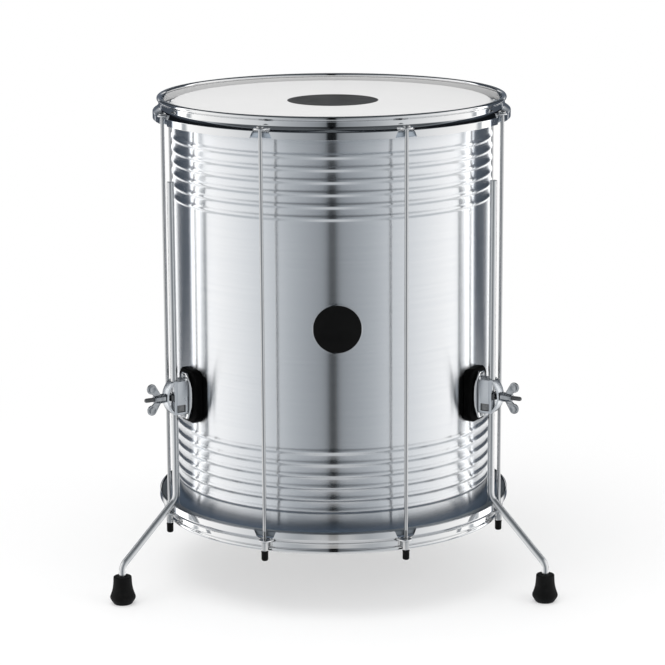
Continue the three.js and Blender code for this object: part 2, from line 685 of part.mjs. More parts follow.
function housingArch() {
  const sag = ARCH_REACH - ARCH_FOOT_RADIUS;
  const radius = (ARCH_FOOT_HEIGHT ** 2 + sag ** 2) / (2 * sag);
  const half = Math.asin(ARCH_FOOT_HEIGHT / radius);
  const path = [];
  for (let i = 0; i <= ARCH_STEPS; i += 1) {
    const turn = half - (2 * half * i) / ARCH_STEPS;
    path.push([ARCH_REACH - radius + radius * Math.cos(turn), radius * Math.sin(turn)]);
  }
  const section = [
    [-ARCH_SHEET / 2, -ARCH_HALF_WIDTH],
    [ARCH_SHEET / 2, -ARCH_HALF_WIDTH],
    [ARCH_SHEET / 2, ARCH_HALF_WIDTH],
    [-ARCH_SHEET / 2, ARCH_HALF_WIDTH],
  ];
  return carried(path, () => section);
}

function block(x, y, z) {
  const outline = [[x[0], y[0]], [x[1], y[0]], [x[1], y[1]], [x[0], y[1]]];
  return prism(outline, z[0], z[1]);
}

function buildHousing() {
  const tall = HOUSING_HALF_HEIGHT + WORK_EPSILON;
  const pocketHalf = EYE_HALF_HEIGHT + EYE_POCKET_GAP;
  const wide = HOUSING_HALF_WIDTH + WORK_EPSILON;
  const recessSide = HOUSING_HALF_WIDTH - RECESS_DEPTH;
  const recessOuter = HOUSING_OUTER - HOUSING_CORNER;
  const recessInner = PLATE_FACE + SKIN_GAP + HOUSING_BACK_WALL;
  const hole = turned(
    [
      [SHANK_RADIUS + SHANK_HOLE_GAP, LEG_CIRCLE_RADIUS],
      [SHANK_RADIUS + SHANK_HOLE_GAP, ARCH_REACH + ARCH_SHEET + WORK_EPSILON],
    ],
    SHANK_SIDES,
  );
  const onLeg = (radius, half) => {
    const cutter = turned([[radius, -half], [radius, half]], EYE_SIDES);
    return cutter.translate(LEG_CIRCLE_RADIUS, 0, 0);
  };
  return carve(
    [housingBlock(), housingArch()],
    [
      onLeg(EYE_INNER_RADIUS, tall),
      onLeg(EYE_POCKET_RADIUS, pocketHalf),
      outward(hole),
      block([recessInner, recessOuter], [recessSide, wide], [RECESS_LOW, RECESS_HIGH]),
      block([recessInner, recessOuter], [-wide, -recessSide], [RECESS_LOW, RECESS_HIGH]),
    ],
  );
}

function buildEyeBolt() {
  const inner = EYE_INNER_RADIUS;
  const eye = turned(
    [
      [inner, -EYE_HALF_HEIGHT],
      [EYE_OUTER_RADIUS - EYE_ROUND, -EYE_HALF_HEIGHT],
      [EYE_OUTER_RADIUS, EYE_ROUND - EYE_HALF_HEIGHT],
      [EYE_OUTER_RADIUS, EYE_HALF_HEIGHT - EYE_ROUND],
      [EYE_OUTER_RADIUS - EYE_ROUND, EYE_HALF_HEIGHT],
      [inner, EYE_HALF_HEIGHT],
    ],
    EYE_SIDES,
    true,
  ).translate(LEG_CIRCLE_RADIUS, 0, 0);
  const shankStart = LEG_CIRCLE_RADIUS + (inner + EYE_OUTER_RADIUS) / 2;
  const shank = turned(
    [
      [SHANK_RADIUS, shankStart],
      [SHANK_RADIUS, SHANK_TIP - SHANK_TIP_TAPER],
      [SHANK_RADIUS - SHANK_TIP_TAPER, SHANK_TIP],
    ],
    SHANK_SIDES,
  );
  return carve([eye, outward(shank)], []);
}

function wingOutline() {
  const lobe = [WING_HUB_START + WING_LOBE_OUT, WING_LOBE_SIDE];
  const outline = [
    [WING_HUB_START + WING_ROOT_HIGH_OUT, WING_ROOT_SIDE],
    [WING_HUB_START + WING_ROOT_LOW_OUT, WING_ROOT_SIDE],
  ];
  const sweep = QUARTER_TURN / WING_LOBE_STEPS;
  for (let i = 0; i <= WING_LOBE_STEPS; i += 1) {
    const turn = Math.PI - QUARTER_TURN / 2 - i * sweep * 2.5;
    outline.push([
      lobe[0] + WING_LOBE_RADIUS * Math.cos(turn),
      lobe[1] + WING_LOBE_RADIUS * Math.sin(turn),
    ]);
  }
  return outline;
}

function buildWingNut() {
  const bore = SHANK_RADIUS + THREAD_GAP;
  const end = WING_HUB_START + WING_HUB_LENGTH;
  const hub = turned([[WING_HUB_RADIUS, WING_HUB_START], [WING_HUB_NOSE_RADIUS, end]], SHANK_SIDES);
  const wings = [1, -1].map((side) => {
    const level = (y) => wingOutline().map(([x, z]) => new THREE.Vector3(x, y, side * z));
    return skin([level(-WING_HALF_THICKNESS), level(WING_HALF_THICKNESS)]);
  });
  const hole = turned(
    [[bore, WING_HUB_START - WORK_EPSILON], [bore, end + WORK_EPSILON]],
    SHANK_SIDES,
  );
  return carve([outward(hub), ...wings], [outward(hole)]);
}

function buildScrew(side) {
  const seat = PLATE_FACE + SCREW_SEAT_GAP;
  const profile = [
    [SCREW_RADIUS, seat],
    [SCREW_RADIUS, seat + SCREW_EDGE],
    [SCREW_CROWN_RADIUS, seat + SCREW_HEIGHT],
  ];
  const offset = PLATE_HALF_HEIGHT - SCREW_FROM_PLATE_END;
  return outward(turned(profile, SCREW_SIDES)).translate(0, 0, side * offset);
}

// Materials
const material = (color, roughness, metalness) =>
  new THREE.MeshStandardMaterial({ color, roughness, metalness });

const FINISH = {
  shell: [0xc9ccd0, 0.32, 1],
  chrome: [0xd6d8dc, 0.08, 1],
  aluminium: [0xb9bcc0, 0.4, 1],
  cast: [0xa9acb0, 0.35, 1],
  film: [0xf1f0ec, 0.5, 0],
  rubber: [0x17181a, 0.75, 0],
  badge: [0x141516, 0.3, 0],
};

const drum = new THREE.Group();
drum.name = 'surdo';

function add(name, geometry, finish) {
  geometry.deleteAttribute('normal');
  geometry.translate(0, -AXIS_SHIFT, 0);
  geometry.computeVertexNormals();
  const mesh = new THREE.Mesh(geometry, material(...FINISH[finish]));
  mesh.name = name;
  drum.add(mesh);
}

add('shell', buildShell(), 'shell');
add('shell_badge', buildBadge(), 'badge');
add('batter_head', atTop(buildHead()), 'film');
add('resonant_head', atBottom(buildHead()), 'film');
add('batter_flesh_hoop', atTop(buildFleshHoop()), 'aluminium');
add('resonant_flesh_hoop', atBottom(buildFleshHoop()), 'aluminium');
add('top_counterhoop', atTop(buildCounterhoop()), 'chrome');
// Turning a hoop over swaps the side its ears lean to, so the lower one is turned back twice.
add('bottom_counterhoop', atBottom(buildCounterhoop()).rotateZ(2 * EAR_TURN), 'chrome');

earAngles.forEach((turn, i) => {
  add(`tension_rod_${i + 1}`, buildRod().rotateZ(turn), 'chrome');
  add(`tension_nut_${i + 1}`, buildNut().rotateZ(turn), 'chrome');
  add(`rod_cap_${i + 1}`, buildCap().rotateZ(turn), 'rubber');
});

LEG_PLACES.forEach((place, i) => {
  const turn = (i * FULL_TURN) / LEG_PLACES.length - FULL_TURN / 12;
  const put = (name, geometry, finish, height) => {
    add(`${place}_${name}`, geometry.rotateZ(turn).translate(0, 0, height), finish);
  };
  put('leg_rod', buildLeg(), 'chrome', 0);
  put('leg_foot', buildFoot(), 'rubber', 0);
  put('bracket_gasket', buildGasket(), 'rubber', BRACKET_HEIGHT);
  put('bracket_plate', buildPlate(), 'chrome', BRACKET_HEIGHT);
  put('clamp_housing', buildHousing(), 'cast', BRACKET_HEIGHT);
  put('eye_bolt', buildEyeBolt(), 'chrome', BRACKET_HEIGHT);
  put('wing_nut', buildWingNut(), 'chrome', BRACKET_HEIGHT);
  put('upper_mount_screw', buildScrew(1), 'chrome', BRACKET_HEIGHT);
  put('lower_mount_screw', buildScrew(-1), 'chrome', BRACKET_HEIGHT);
});

export default drum;
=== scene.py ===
import math

import bpy
from mathutils import Matrix


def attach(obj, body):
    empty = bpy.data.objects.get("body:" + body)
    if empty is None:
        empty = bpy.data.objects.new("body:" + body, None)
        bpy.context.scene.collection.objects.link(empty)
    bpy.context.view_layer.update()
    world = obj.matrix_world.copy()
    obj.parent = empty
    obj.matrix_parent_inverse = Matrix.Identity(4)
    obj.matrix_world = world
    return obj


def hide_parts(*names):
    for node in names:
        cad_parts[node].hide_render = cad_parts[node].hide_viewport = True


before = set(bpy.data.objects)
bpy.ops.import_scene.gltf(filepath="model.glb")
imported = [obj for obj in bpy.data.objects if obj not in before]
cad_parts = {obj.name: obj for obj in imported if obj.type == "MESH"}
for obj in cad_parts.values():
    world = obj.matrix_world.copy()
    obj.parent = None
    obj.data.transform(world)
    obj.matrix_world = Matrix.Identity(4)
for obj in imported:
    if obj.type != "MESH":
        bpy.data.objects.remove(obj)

# Lengths are in millimetres until mesh_point turns them into metres. Each piece is made
# about the drum's axis with X outward and Z up, and is then turned into its place.
MM = 0.001
TAU = 2 * math.pi
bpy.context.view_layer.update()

# Levels and radii shared with the solids.
AXIS_Y = -51.2
TOP_RIM = 661.0
BOTTOM_RIM = 89.0
MIDDLE = (TOP_RIM + BOTTOM_RIM) / 2
SHELL_R = 214.0
SHELL_HALF = 277.2
BEAD_FIRST = 153.6
BEAD_PITCH = 15.9
BEAD_HALF = 5.4
BEAD_HEIGHT = 1.98
HOOP_R = 232.0
LIP_R = 240.0
SHEET = 1.8
ROD_CIRCLE = 240.5
ROD_R = 2.5
TAB_TOP = 15.3
LEG_CIRCLE = 243.0
LEG_R = 4.75
FOOT_CIRCLE = 325.0
BRACKET_Z = 273.2
GASKET_FACE = 224.5
PLATE_FACE = 228.8
ARCH_R = 256.1
RECESS_IN, RECESS_OUT, RECESS_LOW, RECESS_HIGH = 232.6, 244.6, -19.4, -9.4
DISC_R, DISC_RIGHT, DISC_FORWARD = 61.0, 1.6, 7.0
BADGE_Z = MIDDLE + 9.5
BADGE_TURN = math.radians(1.65)
EAR_TURN = math.radians(0.55)
FRONT = -TAU / 4
EAR_TURNS = [FRONT + (i + 0.5) * TAU / 8 + EAR_TURN for i in range(8)]
LEG_TURNS = {"front_right": -TAU / 12, "rear": TAU / 4, "front_left": -5 * TAU / 12}


# ---------------------------------------------------------------- modelling by operator

def mesh_point(point):
    return tuple(value * MM for value in point)


def deselect():
    bpy.ops.object.select_all(action="DESELECT")


def only(piece):
    deselect()
    piece.select_set(True)
    bpy.context.view_layer.objects.active = piece


def edit(piece):
    only(piece)
    bpy.ops.object.mode_set(mode="EDIT")
    bpy.ops.mesh.select_all(action="SELECT")


def tidy_mesh():
    """Merges doubles and turns the faces outward, then leaves edit mode."""
    bpy.ops.mesh.select_all(action="SELECT")
    bpy.ops.mesh.remove_doubles(threshold=0.000002)
    bpy.ops.mesh.normals_make_consistent(inside=False)
    bpy.ops.object.mode_set(mode="OBJECT")


def drawn_line(name, points):
    """A line of edges, drawn by extruding one point from place to place. Stays in edit mode."""
    deselect()
    bpy.ops.mesh.primitive_plane_add(size=MM)
    piece = bpy.context.object
    piece.name = name
    bpy.ops.object.mode_set(mode="EDIT")
    bpy.ops.mesh.select_all(action="SELECT")
    bpy.ops.mesh.merge(type="CENTER")
    bpy.ops.transform.translate(value=mesh_point(points[0]))
    for here, there in zip(points, points[1:]):
        step = mesh_point(b - a for a, b in zip(here, there))
        bpy.ops.mesh.extrude_vertices_move(TRANSFORM_OT_translate={"value": step})
    bpy.ops.mesh.select_all(action="SELECT")
    return piece


def turned(name, profile, steps=48, centre=(0, 0, 0), axis=(0, 0, 1), angle=TAU, ring=False):
    """A profile of (x, z) spun about an axis. A ring's profile closes on itself."""
    points = [(x, 0, z) for x, z in profile]
    piece = drawn_line(name, points + points[:1] if ring else points)
    bpy.ops.mesh.spin(steps=steps, angle=angle, center=mesh_point(centre), axis=axis)
    bpy.ops.mesh.select_all(action="SELECT")
    bpy.ops.mesh.remove_doubles(threshold=0.000002)
    if angle < TAU:
        bpy.ops.mesh.fill_holes(sides=0)
    tidy_mesh()
    return piece


def plate(name, outline, move):
    """A flat outline of (x, y, z) points, filled and extruded by move."""
    piece = drawn_line(name, outline + outline[:1])
    bpy.ops.mesh.remove_doubles(threshold=0.000002)
    bpy.ops.mesh.edge_face_add()
    bpy.ops.mesh.extrude_region_move(TRANSFORM_OT_translate={"value": mesh_point(move)})
    tidy_mesh()
    return piece


def add_modifier(piece, kind, **settings):
    only(piece)
    bpy.ops.object.modifier_add(type=kind)
    modifier = piece.modifiers[-1]
    for key, value in settings.items():
        setattr(modifier, key, value)
    bpy.ops.object.modifier_apply(modifier=modifier.name)


def combine(piece, tool, operation="DIFFERENCE"):
    add_modifier(piece, "BOOLEAN", operation=operation, object=tool, solver="EXACT")
    bpy.data.objects.remove(tool)


def soften(piece, width, segments=2, angle=35):
    add_modifier(piece, "BEVEL", width=width * MM, segments=segments, limit_method="ANGLE",
                 angle_limit=math.radians(angle), use_clamp_overlap=True)


def smooth(piece, angle=35):
    only(piece)
    bpy.ops.object.shade_smooth_by_angle(angle=math.radians(angle))


def joined(name, parts):
    deselect()
    for part in parts:
        part.select_set(True)
    bpy.context.view_layer.objects.active = parts[0]
    bpy.ops.object.join()
    parts[0].name = name
    return parts[0]


def move_mesh(piece, matrix):
    piece.data.transform(matrix)
    piece.data.update()


def shift(x=0, y=0, z=0):
    return Matrix.Translation(mesh_point((x, y, z)))


def about_z(angle):
    return Matrix.Rotation(angle, 4, "Z")


def arc(cx, cz, radius, start, end, steps):
    """Points of an arc in (x, z), with the angles in degrees."""
    turns = [math.radians(start + (end - start) * i / steps) for i in range(steps + 1)]
    return [(cx + radius * math.cos(t), cz + radius * math.sin(t)) for t in turns]


# ---------------------------------------------------------------- materials

class Wire:
    """A value inside a material. Arithmetic on it adds the nodes that work it out."""

    def __init__(self, tree, socket):
        self.tree = tree
        self.socket = socket

    def math(self, operation, *others):
        node = self.tree.nodes.new("ShaderNodeMath")
        node.operation = operation
        for value, target in zip((self, *others), node.inputs):
            plug(self.tree, value, target)
        return Wire(self.tree, node.outputs[0])

    def __add__(self, other):
        return self.math("ADD", other)

    def __sub__(self, other):
        return self.math("SUBTRACT", other)

    def __mul__(self, other):
        return self.math("MULTIPLY", other)

    def __truediv__(self, other):
        return self.math("DIVIDE", other)

    __radd__ = __add__
    __rmul__ = __mul__

    def band(self, low, high, out_low=0.0, out_high=1.0, smoothly=True):
        node = self.tree.nodes.new("ShaderNodeMapRange")
        node.interpolation_type = "SMOOTHSTEP" if smoothly else "LINEAR"
        for value, target in zip((self, low, high, out_low, out_high), node.inputs):
            plug(self.tree, value, target)
        return Wire(self.tree, node.outputs[0])


def plug(tree, value, target):
    if isinstance(value, Wire):
        tree.links.new(value.socket, target)
    else:
        target.default_value = value


class Finish:
    """A material in the making, with the object's own coordinates in metres."""

    def __init__(self, name, **constants):
        self.material = bpy.data.materials.new(name)
        self.material.use_nodes = True
        self.tree = self.material.node_tree
        self.shader = self.tree.nodes["Principled BSDF"]
        for key, value in constants.items():
            self.shader.inputs[key.replace("_", " ")].default_value = value
        coordinates = self.tree.nodes.new("ShaderNodeTexCoord")
        self.place = Wire(self.tree, coordinates.outputs["Object"])
        split = self.tree.nodes.new("ShaderNodeSeparateXYZ")
        self.tree.links.new(self.place.socket, split.inputs[0])
        self.x, self.y, self.z = (Wire(self.tree, socket) for socket in split.outputs)

    def distance_from(self, x=0.0, y=AXIS_Y):
        """How far a point lies from an upright line, by default the drum's axis."""
        aside = self.x - x * MM
        away = self.y - y * MM
        return (aside * aside + away * away).math("SQRT")

    def vector(self, x, y, z):
        node = self.tree.nodes.new("ShaderNodeCombineXYZ")
        for value, target in zip((x, y, z), node.inputs):
            plug(self.tree, value, target)
        return Wire(self.tree, node.outputs[0])

    def noise(self, scale, detail=2.0, roughness=0.5, at=None):
        node = self.tree.nodes.new("ShaderNodeTexNoise")
        node.inputs["Scale"].default_value = scale
        node.inputs["Detail"].default_value = detail
        node.inputs["Roughness"].default_value = roughness
        plug(self.tree, at or self.place, node.inputs["Vector"])
        return Wire(self.tree, node.outputs[0])

    def mix(self, share, first, second):
        node = self.tree.nodes.new("ShaderNodeMix")
        node.data_type = "RGBA"
        plug(self.tree, share, node.inputs["Factor"])
        plug(self.tree, first, node.inputs[6])
        plug(self.tree, second, node.inputs[7])
        return Wire(self.tree, node.outputs[2])

    def bump(self, height, strength, distance):
        node = self.tree.nodes.new("ShaderNodeBump")
        node.inputs["Strength"].default_value = strength
        node.inputs["Distance"].default_value = distance
        plug(self.tree, height, node.inputs["Height"])
        self.set("Normal", Wire(self.tree, node.outputs[0]))

    def set(self, name, value):
        plug(self.tree, value, self.shader.inputs[name])

    def painted_edge_shade(self, colour, start, full):
        """A made effect, painted shade: the metal goes dull and dark where it turns away from the
        eye.
        """
        facing = self.tree.nodes.new("ShaderNodeLayerWeight")
        dull = self.tree.nodes.new("ShaderNodeBsdfPrincipled")
        dull.inputs["Base Color"].default_value = colour
        dull.inputs["Roughness"].default_value = 0.6
        dull.inputs["Specular IOR Level"].default_value = 0.0
        blend = self.tree.nodes.new("ShaderNodeMixShader")
        share = Wire(self.tree, facing.outputs["Facing"]).band(start, full)
        plug(self.tree, share, blend.inputs[0])
        self.tree.links.new(self.shader.outputs[0], blend.inputs[1])
        self.tree.links.new(dull.outputs[0], blend.inputs[2])
        self.tree.links.new(blend.outputs[0], self.tree.nodes["Material Output"].inputs[0])


def grey(value, warm=0.0):
    return (value * (1 + warm), value, value * (1 - warm), 1.0)


def brushed_shell():
    """Aluminium brushed round the tube: reflections spread up and down, not sideways."""
    f = Finish("brushed_aluminium_shell", Metallic=1.0, Anisotropic=1.0,
               Anisotropic_Rotation=0.25)
    fine = f.noise(1.0, 3, 0.62, f.vector(f.x * 9, f.y * 9, f.z * 2600))
    broad = f.noise(1.0, 2, 0.5, f.vector(f.x * 4, f.y * 4, f.z * 260))
    cloud = f.noise(7.0, 3, 0.5)
    tone = fine * 0.35 + broad * 0.35 + cloud * 0.3
    f.set("Base Color", f.mix(tone.band(0.3, 0.7), (0.85, 0.866, 0.887, 1), (0.907, 0.918, 0.932, 1)))
    f.set("Roughness", fine * 0.06 + broad * 0.03 + 0.185)
    f.bump(fine + broad * 0.35, 0.08, 0.00012)
    tangent = f.tree.nodes.new("ShaderNodeTangent")
    tangent.direction_type = "RADIAL"
    tangent.axis = "Z"
    f.tree.links.new(tangent.outputs[0], f.shader.inputs["Tangent"])
    return f.material


def hoop_chrome(name="polished_chrome", level=0.86, rough=0.035, edge=None):
    """Bright plating with faint wiping marks and the slight waviness of pressed sheet."""
    f = Finish(name, Metallic=1.0)
    marks = f.noise(160.0, 4, 0.65)
    wipe = f.noise(14.0, 2, 0.5)
    f.set("Base Color", f.mix(wipe, grey(level - 0.05), grey(level + 0.02)))
    f.set("Roughness", marks.band(0.45, 0.8, rough, rough + 0.07) + wipe * 0.02)
    f.bump(wipe, 0.25, 0.0006)
    # painted shade: given an edge colour, the chrome goes dull and dark where it turns away from the
    # eye
    if edge:
        f.painted_edge_shade(edge, 0.76, 0.88)
    return f.material


def painted_recess_shade(f):
    """Mask of painted shade: one inside the side recesses of the three clamp housings, a third of a
    turn apart.
    """
    third = TAU / 3
    distance = f.distance_from()
    compass = (f.y - AXIS_Y * MM).math("ARCTAN2", f.x)
    turn = ((compass / third - 0.25).math("FRACT") - 0.5) * third
    aside = (distance * turn.math("SINE")).math("ABSOLUTE")

    def between(wire, low, high, blur=0.2):
        return (wire.band((low - blur) * MM, (low + blur) * MM)
                * wire.band((high - blur) * MM, (high + blur) * MM, 1.0, 0.0))

    return (aside.band(11.2 * MM, 11.7 * MM, 1.0, 0.0)
            * between(f.z, BRACKET_Z + RECESS_LOW, BRACKET_Z + RECESS_HIGH)
            * between(distance, RECESS_IN, RECESS_OUT))


def cast_plating(name, low, high, rough, patch_scale=60.0, painted_pocket_shade=False):
    """Plated casting: duller than the hoops, with the faint skin of the mould. Painted shade darkens
    its edges turned from the eye and, with the pocket switch, the insides of the housing recesses.
    """
    f = Finish(name, Metallic=1.0)
    skin = f.noise(420.0, 4, 0.6)
    patch = f.noise(patch_scale, 3, 0.5)
    colour = f.mix(patch, grey(low, -0.03), grey(high, -0.03))
    if painted_pocket_shade:
        # painted shade: dark grey inside the side recesses of the clamp housings
        colour = f.mix(painted_recess_shade(f), colour, f.mix(skin, grey(0.12), grey(0.42)))
    f.set("Base Color", colour)
    f.set("Roughness", skin * 0.12 + patch * 0.08 + rough)
    f.bump(skin + patch, 0.05, 0.0003)
    # painted shade on the edges turned away from the eye
    f.painted_edge_shade((0.09, 0.10, 0.11, 1), 0.72, 0.95)
    return f.material


def satin_aluminium(name, level):
    f = Finish(name, Metallic=1.0)
    lines = f.noise(1.0, 3, 0.6, f.vector(f.x * 20, f.y * 20, f.z * 1800))
    f.set("Base Color", f.mix(lines, grey(level, -0.10), grey(level * 1.2, -0.08)))
    f.set("Roughness", lines * 0.15 + 0.4)
    f.bump(lines, 0.2, 0.0001)
    return f.material


def drum_film(name, disc_radius):
    """Opaque white film with faint clouding. The batter side has a bare black centre disc; the
    resonant side has a slate collar, painted shade.
    """
    f = Finish(name, Specular_IOR_Level=0.1)
    cloud = f.noise(5.0, 3, 0.5)
    grain = f.noise(900.0, 2, 0.5)
    scuff = f.noise(38.0, 5, 0.7)
    white = f.mix(cloud * 0.6 + scuff * 0.4, grey(0.66, 0.004), grey(0.74, 0.002))
    shade = grain * 0.06 + scuff * 0.12 + 0.34
    if disc_radius:
        distance = f.distance_from(DISC_RIGHT, AXIS_Y - DISC_FORWARD)
        inside = distance.band((disc_radius - 0.4) * MM, (disc_radius + 0.4) * MM, 1.0, 0.0)
        f.set("Base Color", f.mix(inside, white, grey(0.004)))
        f.set("Roughness", shade - inside * 0.06)
    else:
        # painted shade: a slate collar on the lower film darkens the shell's reflection above the
        # lower hoop
        collar_painted_shade = f.distance_from().band(0.2138, 0.2146)
        f.set("Base Color", f.mix(collar_painted_shade, white, (0.17, 0.22, 0.29, 1)))
        f.set("Roughness", shade)
    f.bump(grain + scuff * 2, 0.08, 0.0002)
    return f.material


def black_rubber(name, level=0.016, grain_scale=1100.0, shine=0.12):
    f = Finish(name, Specular_IOR_Level=shine)
    grain = f.noise(grain_scale, 3, 0.6)
    dust = f.noise(70.0, 4, 0.7)
    f.set("Base Color", f.mix(dust.band(0.45, 0.8), grey(level * 0.3), grey(level * 0.8)))
    f.set("Roughness", grain * 0.16 + dust * 0.14 + 0.42)
    f.bump(grain + dust * 0.4, 0.3, 0.0003)
    return f.material


def badge_enamel():
    f = Finish("plain_black_enamel", Specular_IOR_Level=0.1)
    fleck = f.noise(1500.0, 2, 0.5)
    haze = f.noise(45.0, 3, 0.6)
    f.set("Base Color", f.mix(haze, grey(0.002), grey(0.006)))
    f.set("Roughness", haze * 0.1 + fleck * 0.08 + 0.24)
    f.bump(fleck, 0.06, 0.0001)
    return f.material


SHELL_METAL = brushed_shell()
# the hoop chrome gets slate painted shade on its edges turned away from the eye
HOOP_METAL = hoop_chrome(edge=(0.085, 0.10, 0.125, 1))
ROD_METAL = hoop_chrome("drawn_chrome_rod", 0.64, 0.09)
LEG_METAL = hoop_chrome("drawn_chrome_leg", 0.80, 0.2)
# the clamp housings get painted shade inside their side recesses
CAST_METAL = cast_plating("plated_casting", 0.71, 0.81, 0.2, painted_pocket_shade=True)
WING_METAL = cast_plating("plated_wing_nut", 0.20, 0.74, 0.08, 190.0)
BOLT_METAL = hoop_chrome("dark_bolt_thread", 0.20, 0.25)
RING_METAL = satin_aluminium("satin_aluminium", 0.60)
# painted shade: the lower flesh hoop is a darker copy of the same satin aluminium, darkening the gap
# above the lower hoop
LOWER_RING_METAL = satin_aluminium("satin_aluminium_painted_shade", 0.26)
BATTER_FILM = drum_film("white_batter_film", DISC_R)
LOWER_FILM = drum_film("white_resonant_film", 0)
FOOT_RUBBER = black_rubber("moulded_foot_rubber", 0.014, 900.0)
PAD_RUBBER = black_rubber("bracket_pad_rubber", 0.003, 1500.0, 0.04)
CAP_RUBBER = black_rubber("rod_cap_rubber", 0.010, 1700.0)
BADGE_BLACK = badge_enamel()


# ---------------------------------------------------------------- placing on the frame

def dress(piece, node, body, finish, lift=0.0, turn=0.0, flip=False, copy=True, name=None):
    """Puts a copy of a piece at its place on the drum, in place of a CAD node."""
    if copy:
        made = piece.copy()
        made.data = piece.data.copy()
        bpy.context.collection.objects.link(made)
    else:
        made = piece
    made.name = name or "made_" + node
    made.data.name = made.name
    flipped = Matrix.Rotation(math.pi, 4, "X") if flip else Matrix.Identity(4)
    move_mesh(made, shift(0, AXIS_Y, lift) @ about_z(turn) @ flipped)
    made.data.materials.clear()
    made.data.materials.append(finish)
    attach(made, body)
    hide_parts(node)
    return made


def discard(*pieces):
    for piece in pieces:
        bpy.data.objects.remove(piece)


# ---------------------------------------------------------------- shell

def make_shell():
    half = SHELL_HALF
    profile = [(SHELL_R - 1.5, -half), (SHELL_R - 1.2, -half), (SHELL_R - 0.3, -half + 0.7),
               (SHELL_R, -half + 1.8)]
    centres = [BEAD_FIRST + i * BEAD_PITCH for i in range(6)]
    for middle in sorted([-c for c in centres] + centres):
        for i in range(13):
            along = -BEAD_HALF + 2 * BEAD_HALF * i / 12
            swell = 0.5 * (1 + math.cos(math.pi * along / BEAD_HALF))
            profile.append((SHELL_R + BEAD_HEIGHT * swell, middle + along))
    profile += [(SHELL_R, half - 1.8), (SHELL_R - 0.3, half - 0.7), (SHELL_R - 1.2, half),
                (SHELL_R - 1.5, half)]
    shell = turned("shell_tube", profile, steps=240, ring=True)
    smooth(shell, 40)
    dress(shell, "shell", "drum", SHELL_METAL, lift=MIDDLE, copy=False)


def curved_block(name, inner, outer, half_width, half_height, steps=16):
    """A block bent round the drum: a section spun through a short angle about the axis."""
    reach = half_width / inner
    section = [(inner, -half_height), (outer, -half_height), (outer, half_height),
               (inner, half_height)]
    piece = turned(name, section, steps=steps, angle=2 * reach, ring=True)
    move_mesh(piece, about_z(-reach if max(v.co.y for v in piece.data.vertices) > 0 else reach))
    return piece


def outward_rod(name, radius, start, end, sides=48):
    """A plain cylinder that points out from the drum along X."""
    deselect()
    bpy.ops.mesh.primitive_cylinder_add(vertices=sides, radius=radius * MM,
                                        depth=(end - start) * MM)
    piece = bpy.context.object
    piece.name = name
    move_mesh(piece, shift((start + end) / 2) @ Matrix.Rotation(TAU / 4, 4, "Y"))
    return piece


def make_badge():
    face = curved_block("badge_face", SHELL_R + 0.2, SHELL_R + 1.2, 34, 34, 24)
    combine(face, outward_rod("punch", 31.1, 200, 230, 96), "INTERSECT")
    rim = curved_block("badge_rim", SHELL_R + 0.2, SHELL_R + 1.48, 34, 34, 24)
    combine(rim, outward_rod("punch", 32.45, 200, 230, 96), "INTERSECT")
    combine(rim, outward_rod("punch", 31.15, 200, 230, 96))
    soften(rim, 0.3, 3, 50)
    smooth(face)
    smooth(rim)
    turn = FRONT + BADGE_TURN
    dress(face, "shell_badge", "drum", BADGE_BLACK, BADGE_Z, turn, copy=False,
          name="made_badge_face")
    dress(rim, "shell_badge", "drum", HOOP_METAL, BADGE_Z, turn, copy=False,
          name="made_badge_rim")


# ---------------------------------------------------------------- heads and hoops

def make_heads():
    upper = [(0, -8), (60, -8), (150, -8), (208, -8), (211.4, -8.05)]
    knee = [(212.6, -8.4), (213.6, -9.2), (215.0, -10.5)]
    skirt = [(220.5, -15.1), (225.4, -19.3), (227.0, -20.8), (227.6, -22.0), (227.65, -23.9)]
    inner = [(227.25, -23.9), (227.2, -22.2), (226.6, -21.1), (225.1, -19.7), (214.6, -10.8),
             (212.2, -8.6), (208, -8.45), (0, -8.45)]
    head = turned("head_film", upper + knee + skirt + inner, steps=240)
    smooth(head, 50)
    dress(head, "batter_head", "drum", BATTER_FILM, lift=TOP_RIM)
    dress(head, "resonant_head", "drum", LOWER_FILM, lift=BOTTOM_RIM, flip=True)
    ring_profile = ([(228.1, -27.6), (228.8, -28.3)] + arc(235.4, -26.6, 1.7, -90, 0, 5)
                    + arc(235.4, -22.6, 1.7, 0, 90, 5) + [(228.9, -20.9), (228.1, -21.6)])
    ring = turned("flesh_ring", ring_profile, steps=240, ring=True)
    smooth(ring, 40)
    dress(ring, "batter_flesh_hoop", "drum", RING_METAL, lift=TOP_RIM)
    # the lower flesh hoop takes the darker copy, painted shade
    dress(ring, "resonant_flesh_hoop", "drum", LOWER_RING_METAL, lift=BOTTOM_RIM,
          flip=True)
    discard(head, ring)


